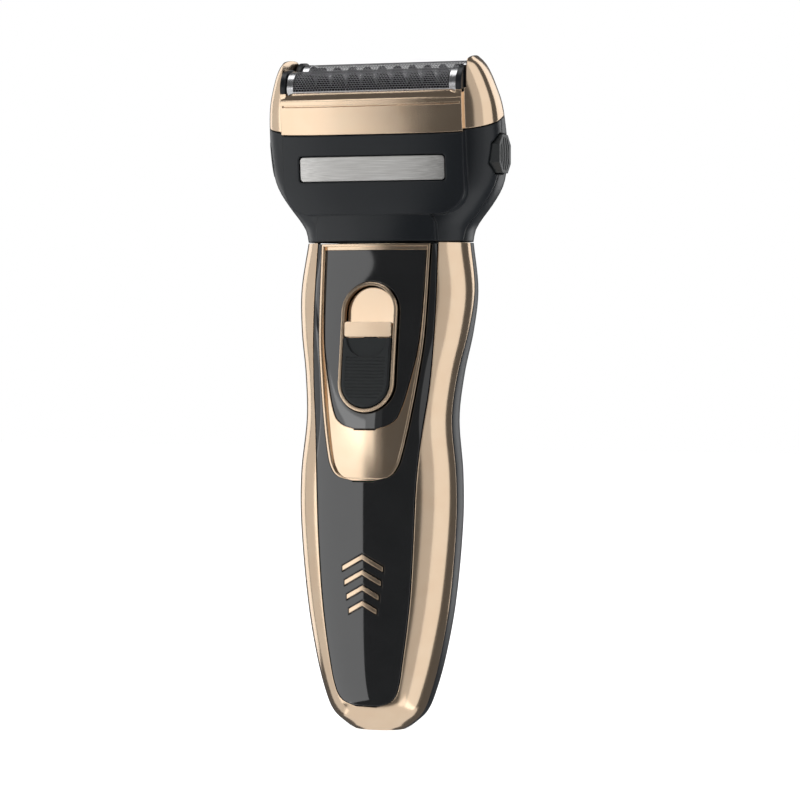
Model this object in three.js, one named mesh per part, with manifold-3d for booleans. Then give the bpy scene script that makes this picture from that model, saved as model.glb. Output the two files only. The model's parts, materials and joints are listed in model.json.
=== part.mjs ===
// A cordless twin-foil shaver, upright, in millimetres: +Z up, +X to its right, front towards -Y.
// The origin is under the middle of its bounding box, on the surface that its foot stands on.
import * as THREE from "three";
import { mergeVertices } from "three/addons/utils/BufferGeometryUtils.js";
import Module from "manifold-3d";

const wasm = await Module();
wasm.setup();

// ---- driving dimensions ----
const GAP = 0.3; // between pieces that touch
const WALL = 1.7; // moulded walls
const SPINE_Y = -2.6; // the lower handle's centre line
const NECK_Z = 117.4; // joint of handle and head
const HANDLE_SHAPE = 2.25; // superellipse power of the handle's sections
// Sections of the handle: height, half width, set-back of the centre line, half depth.
const HANDLE_STATIONS = [
  [0, 6.3, -0.8, 5],
  [1, 8, -0.8, 6.2],
  [4, 11.3, -0.8, 9.1],
  [8.7, 13.4, -0.7, 11],
  [17.4, 15.8, -0.4, 12.4],
  [31, 18.3, -0.1, 13.1],
  [50, 20.1, 0, 13.4],
  [62, 20.1, 0.1, 13.2],
  [75, 18.9, 0.7, 12.8],
  [86, 19.8, 2.1, 12.8],
  [96, 21.5, 3.8, 12.9],
  [106, 22.2, 5.3, 12.9],
  [NECK_Z, 20.7, 6.2, 12.6],
];
// The seam between gold band and rear shell, as a set-back from the centre line.
const SEAM_STATIONS = [
  [0, -1.2],
  [60, -2.4],
  [85, -2.4],
  [107, -0.6],
  [NECK_Z, -0.4],
];
// Half widths of the front openings, by height.
const PANEL_STATIONS = [
  [6.2, 2.6],
  [7.4, 6],
  [10, 7.9],
  [17.4, 9.4],
  [31, 11.2],
  [46, 12.2],
  [60, 12.8],
  [72, 13.7],
  [84, 15],
  [100, 15.7],
  [NECK_Z, 15.5],
];
const BEZEL_STATIONS = [
  [60.5, 2.4],
  [61.4, 6.2],
  [63.6, 8.3],
  [67, 9.4],
  [75, 10.9],
  [84, 12.2],
  [95, 13.4],
  [NECK_Z, 13.9],
];
const PLATE_STATIONS = [
  [72.8, 2.5],
  [73.6, 5.4],
  [75.6, 7.7],
  [83, 10],
  [93, 11.9],
  [105, 12.6],
  [115.6, 12.8],
];
const WELL_Z = 92.3; // middle of the switch well
const WELL_TILT = THREE.MathUtils.degToRad(8.5); // the well leans back with the handle's front
const WELL_LENGTH = 31.4;
const WELL_WIDTH = 14.2;
const RIM_WIDTH = 0.8;
const SLIDER_LENGTH = 20.6;
const CAP_LENGTH = 3.6;
const CHEVRON = { count: 4, topZ: 42.9, pitch: 3.7, half: 5.1, shrink: 0.55, rise: 0.56, bar: 0.95 };

const HEAD_TILT = THREE.MathUtils.degToRad(14); // the head leans forward
const HEAD_Y = 3.4; // set-back of the head's centre at its rim
const HEAD_Z = 146.2;
const RIM_TILT = THREE.MathUtils.degToRad(5); // the rim climbs a little more than the head leans
// Sections of the head: height, half width, set-back, half depth, superellipse power.
const HEAD_STATIONS = [
  [117.7, 20.6, 6.2, 12.6, 2.3],
  [120.6, 21.2, 6.1, 12.5, 2.35],
  [123.5, 23.1, 6, 12.3, 2.45],
  [126.4, 25.4, 5.9, 12.2, 2.55],
  [130.8, 28.1, 5.6, 12.2, 2.7],
  [135, 29.2, 5.1, 12.1, 2.8],
  [141, 29.6, 4.3, 11.8, 2.9],
  [146, 29.5, 3.3, 11.4, 2.9],
  [151, 29, 2.3, 10.9, 2.9],
  [155.4, 27.8, 1.3, 10.7, 2.8],
  [158.5, 26.6, 0.7, 10.5, 2.8],
  [160.5, 25.4, 0.4, 10.4, 2.8],
  [162, 23.8, 0.2, 10.3, 2.8],
];
const RIM_DROP = 11.5; // the rim's front edge keeps its height when the rim is tilted
const RAISED = { half: 23.1, bottom: 124, corner: 6.8, proud: 0.7, power: 4.5 };
const TONGUE = { width: 15.6, top: 125.7, proud: 0.5 };
const LABEL = { width: 36.8, height: 5.8, corner: 0.9, z: 135 };
const BUTTON = { width: 8.8, height: 9.2, cut: 2.4, setBack: 3.4, z: 138.5, inner: 25.6, outer: 30.2 };
// Side view of the foil frame's ends: set-back and height.
const EAR_PROFILE = [
  [-14, 130],
  [20, 130],
  [15, 150],
  [11.8, 156.4],
  [9.6, 159.4],
  [6.5, 161.3],
  [3, 162],
  [-1, 161.8],
  [-5, 160.8],
  [-8.2, 159],
  [-9.9, 156.8],
  [-14, 150],
];
const FOIL = { length: 43, radius: 4.3, pitch: 9.8, crown: 14.2, leg: 3.2, sheet: 0.35 };
const WINDOW = { width: 47, depth: 19.8, endDepth: 14.6, floor: 8.6 }; // the foil frame's opening
const CAP_X = 22.45; // middle of the cassette's end caps
const CUTTER = { length: 39, blades: 10, blade: 0.7 };
const BUTTON_TRAVEL = 1.4;
const MOTOR = { setBack: 6, radius: 7.2, bottom: 88, top: 112 };
const THROW = 0.8; // eccentric radius, and the bridge's travel each way
const FORK_HALF = 2.7; // half the fork's slot, open enough for the pin at any turn

// ---- helpers: curves, solids and booleans ----

// Smooth curve through the stations: column `k` at height `z`.
function along(stations, z, k = 1) {
  const last = stations.length - 1;
  let i = 0;
  while (i < last - 1 && z > stations[i + 1][0]) i += 1;
  const slope = (j) => {
    const a = stations[Math.max(j - 1, 0)];
    const b = stations[Math.min(j + 1, last)];
    return (b[k] - a[k]) / (b[0] - a[0]);
  };
  const [p, q] = [stations[i], stations[i + 1]];
  const span = q[0] - p[0];
  const t = THREE.MathUtils.clamp((z - p[0]) / span, 0, 1);
  const ease = t * t * (3 - 2 * t);
  const bend = span * t * (1 - t) * ((1 - t) * slope(i) - t * slope(i + 1));
  return p[k] + (q[k] - p[k]) * ease + bend;
}

function solidOf(geometry) {
  const bare = geometry.clone();
  for (const name of ["normal", "uv"]) bare.deleteAttribute(name);
  const merged = mergeVertices(bare, 1e-4);
  return new wasm.Manifold(
    new wasm.Mesh({
      numProp: 3,
      vertProperties: new Float32Array(merged.attributes.position.array),
      triVerts: new Uint32Array(merged.index.array),
    }),
  );
}

function geometryOf(solid) {
  const mesh = solid.getMesh();
  const geometry = new THREE.BufferGeometry();
  geometry.setAttribute("position", new THREE.BufferAttribute(mesh.vertProperties, 3));
  geometry.setIndex(new THREE.BufferAttribute(mesh.triVerts, 1));
  return geometry;
}

// A solid moved by a matrix.
function moved(solid, matrix) {
  return solidOf(geometryOf(solid).applyMatrix4(matrix));
}

function shifted(solid, x, y, z) {
  return moved(solid, new THREE.Matrix4().makeTranslation(x, y, z));
}

function turnedX(solid, angle) {
  return moved(solid, new THREE.Matrix4().makeRotationX(angle));
}

function box(width, depth, height, x = 0, y = 0, z = 0) {
  return solidOf(new THREE.BoxGeometry(width, depth, height).translate(x, y, z));
}

// A round bar along Z from `bottom` to `top`.
function bar(radius, bottom, top, x = 0, y = 0, sides = 20) {
  const geometry = new THREE.CylinderGeometry(radius, radius, top - bottom, sides);
  return solidOf(geometry.rotateX(Math.PI / 2).translate(x, y, (top + bottom) / 2));
}

// A closed skin through rings of points: `place(level, angle)` is a point on the ring, and `heart(level)`
// the middle of an end ring.
function loft(levels, sides, place, heart) {
  const geometry = new THREE.CylinderGeometry(1, 1, 1, sides, levels.length - 1);
  geometry.rotateX(Math.PI / 2);
  const points = geometry.attributes.position;
  for (let i = 0; i < points.count; i += 1) {
    const step = Math.round((points.getZ(i) + 0.5) * (levels.length - 1));
    const level = levels[step];
    const radius = Math.hypot(points.getX(i), points.getY(i));
    const turn = Math.round((Math.atan2(points.getY(i), points.getX(i)) / Math.PI) * (sides / 2));
    const angle = (turn * 2 * Math.PI) / sides;
    const point = radius > 0.5 ? place(level, angle) : heart(level);
    points.setXYZ(i, point.x, point.y, point.z);
  }
  return solidOf(geometry);
}

function superellipse(angle, a, b, power) {
  const bulge = (v) => Math.sign(v) * Math.abs(v) ** (2 / power);
  return [a * bulge(Math.cos(angle)), b * bulge(Math.sin(angle))];
}

// An outline in X and Z, extruded along Y from `front` to `back`.
function slab(outline, front, back, bevel = 0) {
  const settings = { depth: back - front - 2 * bevel, bevelEnabled: bevel > 0, curveSegments: 5 };
  Object.assign(settings, { bevelSize: bevel, bevelThickness: bevel, bevelSegments: 2, bevelOffset: -bevel });
  const geometry = new THREE.ExtrudeGeometry(outline, settings);
  geometry.rotateX(Math.PI / 2); // the outline's height becomes Z and its depth runs to -Y
  return solidOf(geometry.translate(0, back - bevel, 0));
}

function roundedBar(width, height, radius) {
  const shape = new THREE.Shape();
  const [w, h, r] = [width / 2, height / 2, Math.min(radius, width / 2 - 0.01, height / 2 - 0.01)];
  shape.moveTo(w, -h + r);
  shape.lineTo(w, h - r);
  shape.absarc(w - r, h - r, r, 0, Math.PI / 2);
  shape.absarc(-w + r, h - r, r, Math.PI / 2, Math.PI);
  shape.absarc(-w + r, -h + r, r, Math.PI, Math.PI * 1.5);
  shape.absarc(w - r, -h + r, r, Math.PI * 1.5, Math.PI * 2);
  return shape;
}

// A shape as wide as the stations say, from the first height to the last, shrunk all round by `inset`.
function stationShape(stations, inset = 0, top = 0) {
  const heights = stations.map((row) => row[0]);
  heights[0] += inset;
  heights[heights.length - 1] += top;
  const right = heights.map((z) => new THREE.Vector2(Math.max(along(stations, z) - inset, 0.5), z));
  const left = right.map((p) => new THREE.Vector2(-p.x, p.y)).reverse();
  return new THREE.Shape([...right, ...left]);
}

// An outline in Y and Z, extruded along X to both sides of the middle.
function sideSlab(points, width) {
  const shape = new THREE.Shape(points.map(([y, z]) => new THREE.Vector2(y, z)));
  const geometry = new THREE.ExtrudeGeometry(shape, { depth: width, bevelEnabled: false });
  const basis = new THREE.Matrix4().makeBasis(
    new THREE.Vector3(0, 1, 0),
    new THREE.Vector3(0, 0, 1),
    new THREE.Vector3(1, 0, 0),
  );
  return solidOf(geometry.translate(0, 0, -width / 2).applyMatrix4(basis));
}

// A coil spring along Z as one bent wire.
function coil(radius, wire, bottom, top, turns) {
  class Helix extends THREE.Curve {
    getPoint(t, target = new THREE.Vector3()) {
      const angle = t * turns * 2 * Math.PI;
      const z = bottom + wire + t * (top - bottom - 2 * wire);
      return target.set(radius * Math.cos(angle), radius * Math.sin(angle), z);
    }
  }
  const section = new THREE.Shape();
  section.absarc(0, 0, wire, 0, Math.PI * 2);
  const settings = { extrudePath: new Helix(), steps: turns * 7, curveSegments: 3, bevelEnabled: false };
  return solidOf(new THREE.ExtrudeGeometry(section, settings));
}

const finishes = {
  gold: { color: 0xd9b48f, roughness: 0.18, metalness: 1 },
  glossBlack: { color: 0x14161a, roughness: 0.08, metalness: 0 },
  mattBlack: { color: 0x2c2e32, roughness: 0.5, metalness: 0 },
  rubberBlack: { color: 0x24282a, roughness: 0.7, metalness: 0 },
  steel: { color: 0xb9bcc0, roughness: 0.3, metalness: 1 },
  label: { color: 0xd3d2cf, roughness: 0.35, metalness: 1 },
  brass: { color: 0xc9a45a, roughness: 0.3, metalness: 1 },
  green: { color: 0x1f6b3c, roughness: 0.5, metalness: 0 },
  blue: { color: 0x2b5f9e, roughness: 0.4, metalness: 0 },
  grey: { color: 0x8b8f94, roughness: 0.5, metalness: 0 },
};

const shaver = new THREE.Group();

// Adds one named piece; `matrix` carries it from its own frame.
function piece(name, solid, finish, matrix) {
  const material = new THREE.MeshStandardMaterial(finishes[finish]);
  const mesh = new THREE.Mesh(geometryOf(solid), material);
  mesh.name = name;
  if (matrix) mesh.applyMatrix4(matrix);
  shaver.add(mesh);
}

// ---- handle ----

const FINE_LEVELS = [4, 8.7, 17.4, 31, 46, 60, 74, 82, 90, 98, 107];
const COARSE_LEVELS = [5, 10, 17.4, 31, 50, 62, 75, 86, 96, 106];
const SIDES = 28;

// The handle's solid form, shrunk all round by `inset`.
function handleForm(inset, bottom, top, inner, sides) {
  const levels = [bottom, ...inner.filter((z) => z > bottom + 1 && z < top - 1), top];
  if (!inset) levels.splice(1, 0, 1);
  const centre = (z) => SPINE_Y + along(HANDLE_STATIONS, z, 2);
  const place = (z, angle) => {
    const a = along(HANDLE_STATIONS, z, 1) - inset;
    const b = along(HANDLE_STATIONS, z, 3) - inset;
    const [x, y] = superellipse(angle, a, b, HANDLE_SHAPE);
    return new THREE.Vector3(x, centre(z) + y, z);
  };
  return loft(levels, sides, place, (z) => new THREE.Vector3(0, centre(z), z));
}

function handleFront(z) {
  return SPINE_Y + along(HANDLE_STATIONS, z, 2) - along(HANDLE_STATIONS, z, 3);
}

const FRONT = -30; // well in front of everything
const handleOuter = handleForm(0, 0, NECK_Z, FINE_LEVELS, SIDES);
const handleInner = handleForm(WALL, WALL, NECK_Z + 1, COARSE_LEVELS, 24);
const wellMatrix = new THREE.Matrix4()
  .makeTranslation(0, handleFront(WELL_Z), WELL_Z)
  .multiply(new THREE.Matrix4().makeRotationX(-WELL_TILT));

function stadium(width, length, front, back) {
  return slab(roundedBar(width, length, width), front, back);
}

// Everything on the front side of the seam, which is moved back by `shift`.
function beforeSeam(shift) {
  const seam = SEAM_STATIONS.map(([z, y]) => [SPINE_Y + along(HANDLE_STATIONS, z, 2) + y + shift, z]);
  const top = seam[seam.length - 1];
  return sideSlab([[FRONT, -1], [seam[0][0], -1], ...seam, [top[0], top[1] + 1], [FRONT, top[1] + 1]], 80);
}

// The inlet stands upright in the foot, in the middle of it.
function upright(solid) {
  const turn = new THREE.Matrix4().makeRotationX(Math.PI / 2);
  const lift = new THREE.Matrix4().makeTranslation(0, SPINE_Y - 0.6, 0);
  return moved(solid, lift.multiply(turn));
}

function screwPlaces() {
  const rows = [
    [10.5, 24, 7.9, 5.2],
    [15, 104, 12.2, 8.8],
  ];
  return rows.flatMap(([x, z, seat, low]) =>
    [-1, 1].map((side) => ({ x: side * x, z, seat: SPINE_Y + seat, low: SPINE_Y + low })),
  );
}

// A round bar along Y.
function crossBar(radius, front, back, x, z) {
  const geometry = new THREE.CylinderGeometry(radius, radius, back - front, 16);
  return solidOf(geometry.translate(x, (front + back) / 2, z));
}

function buildShells() {
  const skin = handleOuter.subtract(handleInner);
  const opening = slab(stationShape(PANEL_STATIONS, 0, 1), FRONT, SPINE_Y);
  const inlet = upright(slab(roundedBar(7.8, 4.6, 1.5), -10, 10));
  let rear = skin.subtract(beforeSeam(0)).subtract(inlet);
  for (const { x, z, seat, low } of screwPlaces()) {
    const boss = crossBar(2.5, low, 20, x, z).intersect(handleOuter);
    rear = rear.add(boss).subtract(crossBar(2.1, seat - GAP, 20, x, z));
    rear = rear.subtract(crossBar(1.1, 0, 20, x, z));
  }
  piece("rear_shell", rear, "mattBlack");
  const band = skin.intersect(beforeSeam(-GAP)).subtract(opening).subtract(inlet);
  piece("side_band", band, "gold");
  screwPlaces().forEach(({ x, z, seat, low }, i) => {
    const screw = crossBar(1.8, seat, seat + 1.2, x, z).add(crossBar(0.8, low - 1, seat + 0.5, x, z));
    piece(`case_screw_${i + 1}`, screw, "steel");
  });
}

function chevronShape(half, grow) {
  const { rise, bar: thick } = CHEVRON;
  const drop = (half + grow) * rise;
  const [upper, lower] = [grow * 1.15, -thick * 1.15 - grow * 1.15];
  const tip = half + grow;
  return new THREE.Shape(
    [
      [-tip, -drop + upper],
      [-tip, -drop + lower],
      [0, lower],
      [tip, -drop + lower],
      [tip, -drop + upper],
      [0, upper],
    ].map(([x, z]) => new THREE.Vector2(x, z)),
  );
}

function chevronSlab(index, grow) {
  const half = CHEVRON.half - CHEVRON.shrink * index;
  const z = CHEVRON.topZ - CHEVRON.pitch * index;
  return shifted(slab(chevronShape(half, grow), FRONT, SPINE_Y), 0, 0, z);
}

function buildFront() {
  const proud = handleForm(-0.4, 20, NECK_Z - GAP, FINE_LEVELS, SIDES);
  const sunk = handleForm(0.4, 20, NECK_Z - GAP, FINE_LEVELS, SIDES);
  const pocketFloor = handleForm(0.9, 20, NECK_Z + 1, FINE_LEVELS, SIDES);
  const bezelOuter = slab(stationShape(BEZEL_STATIONS, -GAP, 2), FRONT, SPINE_Y);
  let panel = handleOuter.subtract(handleForm(WALL, 2, NECK_Z + 1, COARSE_LEVELS, 24));
  panel = panel.intersect(slab(stationShape(PANEL_STATIONS, GAP), FRONT, SPINE_Y)).subtract(bezelOuter);
  for (let i = 0; i < CHEVRON.count; i += 1) {
    panel = panel.subtract(chevronSlab(i, GAP).subtract(pocketFloor));
    const mark = chevronSlab(i, 0).intersect(proud).subtract(handleForm(0.6, 20, 60, FINE_LEVELS, SIDES));
    piece(`chevron_${i + 1}`, mark, "gold");
  }
  piece("front_panel", panel, "glossBlack");

  const behind = handleForm(WALL, 20, NECK_Z + 1, COARSE_LEVELS, 24);
  const bezel = proud
    .subtract(behind)
    .intersect(slab(stationShape(BEZEL_STATIONS), FRONT, SPINE_Y))
    .subtract(slab(stationShape(PLATE_STATIONS, -GAP), FRONT, SPINE_Y));
  piece("switch_bezel", bezel, "gold");
  const wellHole = moved(stadium(WELL_WIDTH + 2 * GAP, WELL_LENGTH + 2 * GAP, -9, 9), wellMatrix);
  const plate = sunk.subtract(behind).intersect(slab(stationShape(PLATE_STATIONS), FRONT, SPINE_Y));
  piece("switch_plate", plate.subtract(wellHole), "glossBlack");
}

function buildSwitch() {
  const inner = WELL_WIDTH - 2 * RIM_WIDTH;
  const innerLength = WELL_LENGTH - 2 * RIM_WIDTH;
  const rim = stadium(WELL_WIDTH, WELL_LENGTH, -0.5, 2.4).subtract(stadium(inner, innerLength, -1, 3));
  piece("switch_rim", rim, "gold", wellMatrix);
  const slot = box(3.4, 4, 14, 0, 2, -4);
  const bed = stadium(inner - 2 * GAP, innerLength - 2 * GAP, 1.4, 2.4).subtract(slot);
  piece("switch_bed", bed, "gold", wellMatrix);

  const width = inner - 2 * GAP;
  const bottom = -innerLength / 2 + GAP;
  const top = bottom + SLIDER_LENGTH;
  const blockMiddle = bottom + (SLIDER_LENGTH + width) / 2;
  const block = shifted(stadium(width, SLIDER_LENGTH + width, -1.1, 1), 0, 0, blockMiddle);
  const capBase = top - CAP_LENGTH;
  const capBlock = box(width, 1.9, CAP_LENGTH, 0, 0, (top + capBase) / 2);
  piece("slider_cap", capBlock, "gold", wellMatrix);
  const stem = box(2.2, 4.2, 4, 0, 2.6, -6);
  const scoop = new THREE.CylinderGeometry(5.2, 5.2, 3, 24);
  const scoopCut = solidOf(scoop.translate(0, -2.1, capBase));
  const grip = block.subtract(box(40, 40, 40, 0, 0, capBase + 20 - GAP)).subtract(scoopCut).add(stem);
  piece("slider_grip", grip, "rubberBlack", wellMatrix);

  const groove = box(2.8, 3, 20, 0, 4, -4);
  piece("slide_switch", box(7.4, 3.6, 12, 0, 5.2, -3.8).subtract(groove), "grey", wellMatrix);
}

// ---- inside the handle ----

function handleDisc(inset, bottom, top) {
  return handleForm(inset, bottom, top, [], 28);
}

const MOTOR_Y = SPINE_Y + MOTOR.setBack;
const CELL = { radius: 7, bottom: 16.1, top: 65.3, y: SPINE_Y + 2.4 };

function buildInside() {
  piece("circuit_board", box(17, 1, 52, 0, SPINE_Y - 6.9, 46), "green");
  let frame = box(16, 1.2, 62, 0, SPINE_Y - 5.5, 45);
  for (const z of [14.1, 67.3]) frame = frame.add(box(15, 12.5, 1.5, 0, SPINE_Y + 0.3, z));
  piece("inner_frame", frame, "grey");
  piece("battery_cell", bar(CELL.radius, CELL.bottom, CELL.top, 0, CELL.y, 24), "blue");
  piece("contact_lower", box(8, 8, 0.6, 0, CELL.y, CELL.bottom - 0.6), "brass");
  piece("contact_upper", box(8, 8, 0.6, 0, CELL.y, CELL.top + 0.6), "brass");

  piece("motor_can", bar(MOTOR.radius, MOTOR.bottom, MOTOR.top, 0, MOTOR_Y, 28), "steel");
  const room = bar(MOTOR.radius + GAP, 90, 110, 0, MOTOR_Y, 28);
  const mount = handleDisc(WALL + GAP, 97, 100).intersect(box(80, 60, 20, 0, SPINE_Y + 25.1, 98.5));
  piece("motor_mount", mount.subtract(room), "grey");
  const spigot = loft([115, 121], 24, (z, angle) => {
    const [x, y] = superellipse(angle, 13, 7.5, 2.4);
    return new THREE.Vector3(x, MOTOR_Y + y, z);
  }, (z) => new THREE.Vector3(0, MOTOR_Y, z));
  const collar = handleDisc(WALL + GAP, 113.4, NECK_Z - GAP).add(spigot);
  piece("neck_collar", collar.subtract(bar(3.4, 110, 125, 0, MOTOR_Y)), "mattBlack");

  const socket = slab(roundedBar(7.2, 4, 1.2), 0, 9).subtract(slab(roundedBar(5.8, 2.6, 0.9), -1, 7));
  piece("charge_inlet", upright(socket), "rubberBlack");
  for (const [name, side] of [["inlet_pin_left", -1], ["inlet_pin_right", 1]]) {
    piece(name, bar(0.45, 1.2, 6.7, side * 1.5, SPINE_Y - 0.6, 12), "brass");
  }
}

function buildRotor() {
  const discBottom = 131;
  piece("motor_shaft", bar(1.1, MOTOR.top + GAP, discBottom - GAP, 0, MOTOR_Y, 16), "steel");
  const pin = bar(0.8, discBottom, 141.2, THROW, MOTOR_Y, 14);
  piece("eccentric_cam", bar(2.6, discBottom, discBottom + 2, 0, MOTOR_Y, 20).add(pin), "grey");
}

// ---- head ----

const HEAD_LEVELS = [120.5, 123.5, 127, 131, 136, 144, 151, 155.4, 158.5, 160.5];

// The head's solid form from one height to another, shrunk all round by `inset`.
function headForm(inset, bottom, top, power, sides) {
  const levels = [bottom, ...HEAD_LEVELS.filter((z) => z > bottom + 0.4 && z < top - 0.4), top];
  const centre = (z) => SPINE_Y + along(HEAD_STATIONS, z, 2);
  const place = (z, angle) => {
    const a = along(HEAD_STATIONS, z, 1) - inset;
    const b = along(HEAD_STATIONS, z, 3) - inset;
    const [x, y] = superellipse(angle, a, b, power ?? along(HEAD_STATIONS, z, 4));
    return new THREE.Vector3(x, centre(z) + y, z);
  };
  return loft(levels, sides, place, (z) => new THREE.Vector3(0, centre(z), z));
}

// The raised face of the head, in front (-1) or behind (1): flatter than the rest, with round lower corners.
function raisedFace(inset, top, side) {
  const height = 50;
  const outline = roundedBar(2 * (RAISED.half - inset), height, RAISED.corner - inset);
  const sheet = side < 0 ? slab(outline, FRONT, SPINE_Y) : slab(outline, SPINE_Y + 4, -FRONT);
  const block = shifted(sheet, 0, 0, RAISED.bottom + inset + height / 2);
  return headForm(inset - RAISED.proud, RAISED.bottom - 1, top, RAISED.power, 36).intersect(block);
}

function tongue() {
  const { width, top } = TONGUE;
  const shape = new THREE.Shape();
  shape.moveTo(-width, 110);
  shape.lineTo(width, 110);
  shape.lineTo(width - 0.3, top - 4);
  shape.quadraticCurveTo(width - 0.7, top - 2, width - 2, top - 1.3);
  shape.quadraticCurveTo(width - 2.7, top, width - 3.7, top);
  shape.lineTo(-width + 3.7, top);
  shape.quadraticCurveTo(-width + 2.7, top, -width + 2, top - 1.3);
  shape.quadraticCurveTo(-width + 0.7, top - 2, -width + 0.3, top - 4);
  return headForm(-TONGUE.proud, NECK_Z + GAP, 140, 2.7, 36).intersect(slab(shape, FRONT, SPINE_Y));
}

// The head's own frame: its origin at the middle of the rim, Z along the head.
const headMatrix = new THREE.Matrix4()
  .makeTranslation(0, SPINE_Y + HEAD_Y, HEAD_Z)
  .multiply(new THREE.Matrix4().makeRotationX(HEAD_TILT));

// Everything below the rim, which is raised by `lift`.
function belowRim(lift) {
  const half = 60;
  const block = turnedX(box(2 * half, 2 * half, 2 * half, 0, 0, -half + lift), RIM_TILT);
  return moved(shifted(block, 0, 0, RIM_TILT * RIM_DROP), headMatrix);
}

function octagon(width, height, cut) {
  const [w, h] = [width / 2, height / 2];
  const corners = [[w, -h + cut], [w, h - cut], [w - cut, h], [-w + cut, h], [-w, h - cut], [-w, -h + cut]];
  corners.push([-w + cut, -h], [w - cut, -h]);
  return corners;
}

function buttonPrism(grow, from, to, side) {
  const outline = octagon(BUTTON.width + 2 * grow, BUTTON.height + 2 * grow, BUTTON.cut);
  const prism = sideSlab(outline.map(([y, z]) => [y + SPINE_Y + BUTTON.setBack, z + BUTTON.z]), to - from);
  return shifted(prism, (side * (from + to)) / 2, 0, 0);
}

function buildHousing() {
  const outer = headForm(0, NECK_Z + GAP, 156, undefined, 36)
    .add(raisedFace(0, 156, -1))
    .add(raisedFace(0, 156, 1))
    .add(tongue());
  const room = headForm(WALL, 119.6, 157, undefined, 28);
  const spigotRoom = loft([110, 121.4], 24, (z, angle) => {
    const [x, y] = superellipse(angle, 13 + GAP, 7.5 + GAP, 2.4);
    return new THREE.Vector3(x, MOTOR_Y + y, z);
  }, (z) => new THREE.Vector3(0, MOTOR_Y, z));
  let shell = outer.subtract(room).intersect(belowRim(-GAP)).subtract(spigotRoom);
  for (const side of [-1, 1]) shell = shell.subtract(buttonPrism(GAP, 20, 40, side));
  const labelBlock = (grow) => {
    const outline = roundedBar(LABEL.width + 2 * grow, LABEL.height + 2 * grow, LABEL.corner);
    return shifted(slab(outline, FRONT, SPINE_Y), 0, 0, LABEL.z);
  };
  const pocket = labelBlock(GAP).subtract(raisedFace(1.1, 156, -1));
  const seam = SPINE_Y + 2.6;
  const frontHalf = box(90, 60, 90, 0, seam - 30 - GAP / 2, 140);
  const rearHalf = box(90, 60, 90, 0, seam + 30 + GAP / 2, 140);
  piece("head_front_cover", shell.intersect(frontHalf).subtract(pocket), "mattBlack");
  piece("head_rear_cover", shell.intersect(rearHalf), "mattBlack");
  const label = raisedFace(0.3, 156, -1).subtract(raisedFace(0.8, 156, -1)).intersect(labelBlock(0));
  piece("label_plate", label, "label");

  const baseSlot = box(14.6, 12, 8, 0, 0.5, -4.8);
  const basePlate = moved(box(80, 60, 1.5, 0, 0, -4.8).subtract(baseSlot), headMatrix);
  const clear = [-1, 1].map((side) => buttonPrism(0.8, 23.1, 40, side));
  const trimmed = basePlate.intersect(headForm(WALL + GAP, 119.6, 156, undefined, 28));
  piece("head_base", trimmed.subtract(clear[0]).subtract(clear[1]), "grey");

  for (const [word, side] of [["left", -1], ["right", 1]]) {
    const button = buttonPrism(0, BUTTON.inner, BUTTON.outer, side);
    piece(`release_button_${word}`, button, "rubberBlack");
    const leafX = BUTTON.inner - BUTTON_TRAVEL - 0.6;
    const y = SPINE_Y + BUTTON.setBack;
    const leaf = box(0.4, 5, 8, side * leafX, y, BUTTON.z - 1);
    piece(`button_spring_${word}`, leaf, "steel");
  }
}

// ---- foil frame, foils and cutters, in the head's own frame ----

const ARC_Z = FOIL.crown - FOIL.radius; // centre of the foils' round tops
const FOIL_HALF = FOIL.pitch / 2;

// An arch in Y and Z with straight legs, as a closed outline.
function arch(radius, centreY, foot, segments) {
  const points = [[centreY + radius, foot]];
  for (let i = 0; i <= segments; i += 1) {
    const angle = (Math.PI * i) / segments;
    points.push([centreY + radius * Math.cos(angle), ARC_Z + radius * Math.sin(angle)]);
  }
  points.push([centreY - radius, foot]);
  return points;
}

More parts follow.
